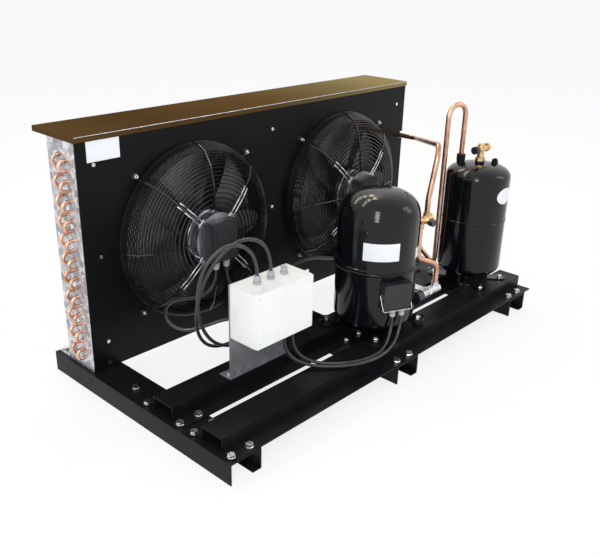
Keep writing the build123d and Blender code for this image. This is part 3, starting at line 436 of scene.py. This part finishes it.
def bar(bm, start, end, radius, sides=10):
    """Adds a capped round bar between two points."""
    start, end = Vector(start), Vector(end)
    turn = (end - start).to_track_quat("Z", "Y").to_matrix().to_4x4()
    place = Matrix.Translation((start + end) / 2) @ turn
    bmesh.ops.create_cone(bm, cap_ends=True, segments=sides, radius1=radius, radius2=radius,
                          depth=(end - start).length, matrix=place)


def bead(name, radius, height, centre):
    """A seam weld around a vessel, with the ripples the torch left."""
    s = sizes()
    half, rise = s.weld_width / 2, s.weld_rise
    outline = [(radius - 0.0006, -half), (radius + rise * 0.55, -half * 0.62),
               (radius + rise, 0.0), (radius + rise * 0.55, half * 0.62), (radius - 0.0006, half)]
    bm = lathed(outline, (centre[0], centre[1], height), s.weld_ripples * 3)
    for vert in bm.verts:
        out = Vector((vert.co.x - centre[0], vert.co.y - centre[1], 0))
        swing = math.cos(s.weld_ripples * math.atan2(out.y, out.x) + 260 * (vert.co.z - height))
        over = max(0.0, out.length - radius)
        vert.co += out.normalized() * over * 0.22 * swing
    return piece(name, bm, vessel_paint)


# ---------------------------------------------------------------- operators
class UNIT_OT_stage(bpy.types.Operator):
    """Floor, daylight, lamps and camera"""
    bl_idname = "unit.stage"
    bl_label = "Stage and camera"

    def execute(self, context):
        scene = context.scene
        scene.view_settings.view_transform = "Standard"
        bm = bmesh.new()
        bmesh.ops.create_grid(bm, x_segments=4, y_segments=4, size=FLOOR_REACH)
        bmesh.ops.translate(bm, vec=(0, 0, -FLOOR_DROP), verts=bm.verts)
        mesh = bpy.data.meshes.new("floor")
        bm.to_mesh(mesh)
        bm.free()
        floor = bpy.data.objects.new("floor", mesh)
        scene.collection.objects.link(floor)
        mesh.materials.append(self.floor_material())
        self.daylight(scene)
        self.lamp("key", (-3.0, -2.2, 2.2), (0.0, -0.2, 0.35), (0.7, 2.6), 62)
        self.lamp("side", (2.6, -2.8, 2.4), (0.3, -0.2, 0.3), (1.0, 2.0), 16)
        self.lamp("strip_left", (0.2, 0.9, 3.1), (0.2, -0.3, 0.5), (3.4, 0.16), 22, (1.0, 0.9, 0.68))
        self.lamp("strip_right", (0.9, 1.9, 3.0), (0.3, -0.3, 0.5), (3.4, 0.16), 22, (1.0, 0.88, 0.62))
        self.camera(scene)
        return {"FINISHED"}

    def lamp(self, name, place, target, size, power, tint=(1.0, 1.0, 1.0)):
        data = bpy.data.lights.new(name, "AREA")
        data.shape = "RECTANGLE"
        data.size, data.size_y = size
        data.energy = power
        data.color = tint
        lamp = bpy.data.objects.new(name, data)
        bpy.context.scene.collection.objects.link(lamp)
        aim = (Vector(target) - Vector(place)).to_track_quat("-Z", "Y").to_matrix().to_4x4()
        lamp.matrix_world = Matrix.Translation(place) @ aim

    def seen(self, tree):
        """1 for the camera, for reflections and for what glass shows; 0 for lighting."""
        path = add(tree, "ShaderNodeLightPath").outputs
        both = add(tree, "ShaderNodeMath", {0: path["Is Camera Ray"], 1: path["Is Glossy Ray"]},
                   operation="ADD").outputs["Value"]
        return add(tree, "ShaderNodeMath", {0: both, 1: path["Is Transmission Ray"]},
                   operation="ADD", use_clamp=True).outputs["Value"]

    def floor_material(self):
        material, tree, shader, coords = surface("pale_floor", 0.0, 0.2)
        tint = colours().floor
        slow = noise(tree, coords, 0.6)
        tree.links.new(tones(tree, slow, [(0.3, shaded(tint, 0.99)), (0.7, tint)]),
                       shader.inputs["Base Color"])
        shader.inputs["Roughness"].default_value = 0.7
        glow = add(tree, "ShaderNodeEmission", {"Color": (1.0, 1.0, 1.0, 1.0), "Strength": 1.0})
        share = add(tree, "ShaderNodeMath", {0: self.seen(tree), 1: FLOOR_WHITE}, operation="MULTIPLY")
        mix = add(tree, "ShaderNodeMixShader", {0: share.outputs["Value"], 1: shader.outputs["BSDF"],
                                                2: glow.outputs["Emission"]})
        tree.links.new(mix.outputs["Shader"], tree.nodes["Material Output"].inputs["Surface"])
        return material

    def daylight(self, scene):
        world = scene.world or bpy.data.worlds.new("daylight")
        scene.world = world
        world.use_nodes = True
        tree = world.node_tree
        tree.nodes.clear()
        soft = add(tree, "ShaderNodeBackground", {"Color": (0.96, 0.98, 1.0, 1.0), "Strength": 0.75})
        white = add(tree, "ShaderNodeBackground", {"Color": (1.0, 1.0, 1.0, 1.0), "Strength": 1.0})
        mix = add(tree, "ShaderNodeMixShader", {0: self.seen(tree), 1: soft.outputs[0],
                                                2: white.outputs[0]})
        out = add(tree, "ShaderNodeOutputWorld")
        tree.links.new(mix.outputs["Shader"], out.inputs["Surface"])

    def camera(self, scene):
        azimuth, elevation, roll = (math.radians(a) for a in CAMERA_ANGLES)
        back = Vector((math.sin(azimuth) * math.cos(elevation),
                       -math.cos(azimuth) * math.cos(elevation), math.sin(elevation)))
        side = Vector((math.cos(azimuth), math.sin(azimuth), 0.0))
        up = back.cross(side)
        right = math.cos(roll) * side + math.sin(roll) * up
        top = math.cos(roll) * up - math.sin(roll) * side
        data = bpy.data.cameras.new("camera")
        data.sensor_fit = "HORIZONTAL"
        data.sensor_width = SENSOR_WIDTH
        data.lens = LENS
        data.clip_end = 200.0
        camera = bpy.data.objects.new("camera", data)
        scene.collection.objects.link(camera)
        turn = Matrix((right, top, back)).transposed().to_4x4()
        camera.matrix_world = Matrix.Translation(CAMERA_PLACE) @ turn
        scene.camera = camera


class UNIT_OT_base(bpy.types.Operator):
    """Cross members, hat rails and their bolts"""
    bl_idname = "unit.base"
    bl_label = "Base frame"

    def execute(self, context):
        paint(frame_paint, "cross_members", "rails")
        paint(bright_zinc, "frame_bolts", "foot_bolts")
        return {"FINISHED"}


class UNIT_OT_coil(bpy.types.Operator):
    """Fan panel, top cover, end plates, fins and copper bends"""
    bl_idname = "unit.coil"
    bl_label = "Coil and casing"

    def execute(self, context):
        paint(panel_paint, "fan_panel", "plenum_divider", "bell_mouths")
        # The top cover's base colour holds a painted warm reflection.
        paint(cover_painted_reflection, "top_cover")
        paint(spangled_sheet, "end_plates")
        paint(fin_stock, "fin_pack")
        paint(bare_copper, "coil_tubes", "coil_headers")
        paint(bend_copper, "return_bends")
        paint(bright_zinc, "panel_screws")
        # Adds a painted highlight strip along the top cover's front fold.
        self.fold_highlight()
        return {"FINISHED"}

    def fold_highlight(self):
        """A painted highlight: a bright strip along the top cover's front fold, standing in for the light
        caught on the fold.
        """
        low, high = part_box("top_cover")
        bm = bmesh.new()
        size = (high.x - low.x - 0.004, 0.0012, 0.0016)
        place = Matrix.Translation(((low.x + high.x) / 2, low.y - 0.0004, high.z - 0.0012))
        rounded_block(bm, size, place, 0.0005)
        piece("cover_fold_highlight", bm, cast_alloy, smooth=False)


class UNIT_OT_fans(bpy.types.Operator):
    """Impellers, guards, motors with their struts, and the motor boxes"""
    bl_idname = "unit.fans"
    bl_label = "Fans"

    def execute(self, context):
        paint(blade_paint, "impeller_1", "impeller_2")
        paint(wire_paint, "fan_guards")
        paint(cast_alloy, "fan_motors")
        paint(black_plastic, "fan_boxes")
        paint(bright_zinc, "guard_nuts")
        low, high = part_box("fan_boxes")
        middle = (low.z + high.z) / 2
        reach = (high.x - low.x - MOTOR_BOX_WIDTH) / 2
        centre = (low.x + high.x) / 2
        for n, x in enumerate((centre - reach, centre + reach), start=1):
            self.struts(f"motor_struts_{n}", x, middle)
            self.box_lid(f"motor_box_lid_{n}", x, middle, low.y)
        return {"FINISHED"}

    def struts(self, name, x, z):
        """Pairs of bright wires that tie the motor to the guard."""
        bm = bmesh.new()
        half = sizes().strut_gap / 2
        for k in range(4):
            angle = math.radians(45 + 90 * k)
            out = Vector((math.cos(angle), 0, math.sin(angle)))
            side = Vector((-math.sin(angle), 0, math.cos(angle)))
            for shift in (-half, half):
                points = [Vector((x, y, z)) + out * r + side * shift for r, y in STRUT_RUN]
                for start, end in zip(points, points[1:]):
                    bar(bm, start, end, STRUT_WIRE)
            seat = Matrix((side, Vector((0, 1, 0)), out)).transposed().to_4x4()
            seat.translation = Vector((x, STRUT_SEAT_Y, z)) + out * STRUT_SEAT_OUT
            rounded_block(bm, STRUT_SEAT_SIZE, seat, 0.001)
        piece(name, bm, cast_alloy)

    def box_lid(self, name, x, z, front):
        """Raised lid with four corner screws on a motor's terminal box."""
        bm = bmesh.new()
        rounded_block(bm, (0.084, 0.003, 0.104), Matrix.Translation((x, front - 0.0012, z)), 0.0012, 3)
        rounded_block(bm, (0.066, 0.0016, 0.086), Matrix.Translation((x, front - 0.003, z)), 0.0007, 3)
        for sx in (-1, 1):
            for sz in (-1, 1):
                at = Vector((x + sx * 0.0375, front - 0.0026, z + sz * 0.0475))
                bar(bm, at, at + Vector((0, -0.0016, 0)), 0.0032, 12)
        piece(name, bm, black_plastic, smooth=False)


class UNIT_OT_compressor(bpy.types.Operator):
    """Compressor shells, seam weld, feet, terminal box and inner works"""
    bl_idname = "unit.compressor"
    bl_label = "Compressor"

    def execute(self, context):
        paint(vessel_paint, "comp_lower_shell", "comp_upper_shell", "comp_feet")
        paint(black_rubber, "comp_grommets")
        paint(stacked_lamination, "comp_stator")
        paint(ground_steel, "comp_crankshaft", "comp_pistons", "comp_springs")
        paint(cast_iron, "comp_block")
        paint(black_plastic, "comp_terminal_cover", "comp_terminal_box")
        paint(bright_zinc, "comp_bail")
        bead("compressor_seam", SEAM_RADIUS, SEAM_HEIGHT, SEAM_AXIS)
        return {"FINISHED"}


class UNIT_OT_receiver(bpy.types.Operator):
    """Liquid receiver, its base, valve, dip tube and fittings"""
    bl_idname = "unit.receiver"
    bl_label = "Receiver"

    def execute(self, context):
        paint(vessel_paint, "receiver_shell", "receiver_base")
        paint(frame_paint, "receiver_fittings")
        paint(forged_brass, "receiver_valve")
        paint(ground_steel, "receiver_spindle")
        paint(bare_copper, "dip_tube")
        return {"FINISHED"}


class UNIT_OT_pipework(bpy.types.Operator):
    """Copper pipes, service valves and their caps"""
    bl_idname = "unit.pipework"
    bl_label = "Pipework"

    def execute(self, context):
        paint(bare_copper, "pipe_suction", "pipe_discharge", "pipe_condenser", "pipe_liquid")
        paint(cast_alloy, "discharge_valve", "suction_valve")
        paint(forged_brass, "inline_valve")
        paint(ground_steel, "discharge_spindle", "suction_spindle")
        paint(valve_cap_plastic, "valve_caps")
        return {"FINISHED"}


class UNIT_OT_switch_box(bpy.types.Operator):
    """White switch box, bracket, glands, switchgear and blank labels"""
    bl_idname = "unit.switch_box"
    bl_label = "Switch box"

    def execute(self, context):
        paint(dull_zinc_sheet, "box_bracket")
        paint(white_enamel, "box_case", "box_lid")
        paint(grey_nylon, "switchgear", "cable_glands")
        paint(blank_sticker, "labels")
        return {"FINISHED"}


# Each cable's length, what its far end is, and its route in millimetres.
CABLES = {
    "cable_fan": (500, "object", [
        (-321.5, -113, 292), (-321.5, -113, 259.6), (-349.5, -103.9, 222.3), (-399.1, -94.2, 224),
        (-448.5, -95.4, 236.5), (-495.8, -112.8, 238.5), (-523.9, -148.6, 218.1), (-508.4, -191.2, 200),
        (-468.2, -221.6, 206.1), (-427.3, -247.8, 221.9), (-400, -286.6, 235), (-400, -319, 235)]),
    "cable_link": (729, "object", [
        (-285.5, -113, 292), (-285.5, -113, 259.6), (-263.6, -119.9, 214.7), (-216.6, -133.6, 199.1),
        (-166.8, -145.5, 208.2), (-118.4, -153, 226.4), (-68.7, -156.1, 241.9), (-16.8, -155.1, 246.5),
        (34.7, -151.3, 238.8), (84.4, -146.2, 223.6), (133.1, -140.1, 205.8), (182.4, -133.1, 190.1),
        (233.5, -124.8, 184.9), (276.6, -116.2, 209.9), (289.5, -113, 259.6), (289.5, -113, 292)]),
    "cable_supply": (813, "bare", [
        (-408, -362, 376), (-408, -362, 408.4), (-433.6, -356.9, 454.2), (-483.1, -345.1, 470.2),
        (-527.1, -330.5, 444.6), (-546.9, -318, 395.9), (-549, -307.5, 342.6), (-538.7, -297.7, 290),
        (-517.5, -287.9, 240.9), (-485.9, -277.8, 197.8), (-444.7, -267.1, 164), (-396.3, -256.4, 141.6),
        (-344.1, -246, 129.8), (-290.6, -236.6, 125.3), (-236.7, -228.9, 124), (-182.4, -225, 121.2),
        (-150, -225, 118)]),
    "cable_control": (825, "bare", [
        (-362, -362, 376), (-362, -362, 408.4), (-384.9, -356.9, 456.6), (-434.6, -343.8, 472.2),
        (-481.2, -327.9, 448.9), (-512.2, -312.8, 406), (-529.1, -298.7, 355.5), (-533.6, -284.9, 302.3),
        (-525.3, -271.2, 249.5), (-503, -257.3, 201.1), (-466.4, -243.5, 162.3), (-419.1, -230.7, 137.2),
        (-366.5, -219.3, 124.8), (-312.3, -209.8, 120.3), (-257.5, -202.7, 118.8), (-202.4, -201.8, 115.2),
        (-170, -205, 112)]),
    "cable_compressor": (444, "object", [
        (-300, -380, 189), (-300, -380, 161.4), (-284.8, -390.1, 122.1), (-257.9, -418.6, 102.5),
        (-229.4, -452.5, 98.9), (-197.6, -483.3, 101.7), (-158, -503, 102.8), (-114, -506, 99.3),
        (-70.2, -499, 97.5), (-29.3, -488.4, 109.5), (-10.7, -482.3, 147.4), (-10.7, -482.3, 175)]),
    "cable_heater": (496, "object", [
        (-330, -380, 189), (-330, -380, 161.4), (-311.6, -391.3, 123.4), (-281.9, -418.6, 104.2),
        (-251.2, -451.1, 98.8), (-218.8, -482.4, 100.2), (-181.3, -507.1, 102.8), (-137.9, -518.5, 102),
        (-93.1, -516.9, 98.5), (-48.7, -508.9, 98.1), (-6.8, -499.3, 110.4), (14.7, -494.1, 147.4),
        (14.7, -494.1, 175)]),
}


class UNIT_OT_cables(bpy.types.Operator):
    """The six sheathed cables, as smooth curves along their routes"""
    bl_idname = "unit.cables"
    bl_label = "Cables"

    def execute(self, context):
        for name, (measured, far_end, points) in CABLES.items():
            self.cable(name, measured, far_end, points)
        return {"FINISHED"}

    def cable(self, name, measured, far_end, points):
        radius = sizes().cable / 2
        data = bpy.data.curves.new(name + "_sheath", "CURVE")
        data.dimensions = "3D"
        data.bevel_depth = radius
        data.bevel_resolution = 5
        data.resolution_u = 10
        data.use_fill_caps = True
        spline = data.splines.new("NURBS")
        spline.points.add(len(points) - 1)
        for control, place in zip(spline.points, points):
            control.co = (*(value * MM for value in place), 1.0)
        spline.order_u = 3
        spline.use_endpoint_u = True
        item = bpy.data.objects.new(name + "_sheath", data)
        bpy.context.scene.collection.objects.link(item)
        data.materials.append(finish(cable_sheath))
        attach(item, "unit")
        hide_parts(name)


STEPS = (UNIT_OT_stage, UNIT_OT_base, UNIT_OT_coil, UNIT_OT_fans, UNIT_OT_compressor,
         UNIT_OT_receiver, UNIT_OT_pipework, UNIT_OT_switch_box, UNIT_OT_cables)


class UNIT_PT_panel(bpy.types.Panel):
    """Lists the steps, sizes and colours of the unit"""
    bl_idname = "UNIT_PT_panel"
    bl_label = "Condensing Unit"
    bl_space_type = "VIEW_3D"
    bl_region_type = "UI"
    bl_category = "Condensing Unit"

    def draw(self, context):
        for step in STEPS:
            self.layout.operator(step.bl_idname)
        for group in (context.scene.unit_sizes, context.scene.unit_colours):
            box = self.layout.box()
            for key in group.__annotations__:
                box.prop(group, key)


CLASSES = (UnitSizes, UnitColours, *STEPS, UNIT_PT_panel)


def register():
    for cls in CLASSES:
        bpy.utils.register_class(cls)
    bpy.types.Scene.unit_sizes = PointerProperty(type=UnitSizes)
    bpy.types.Scene.unit_colours = PointerProperty(type=UnitColours)


def unregister():
    del bpy.types.Scene.unit_colours
    del bpy.types.Scene.unit_sizes
    for cls in reversed(CLASSES):
        bpy.utils.unregister_class(cls)


def main():
    register()
    for step in STEPS:
        group, name = step.bl_idname.split(".")
        getattr(getattr(bpy.ops, group), name)()


if __name__ == "__main__":
    main()
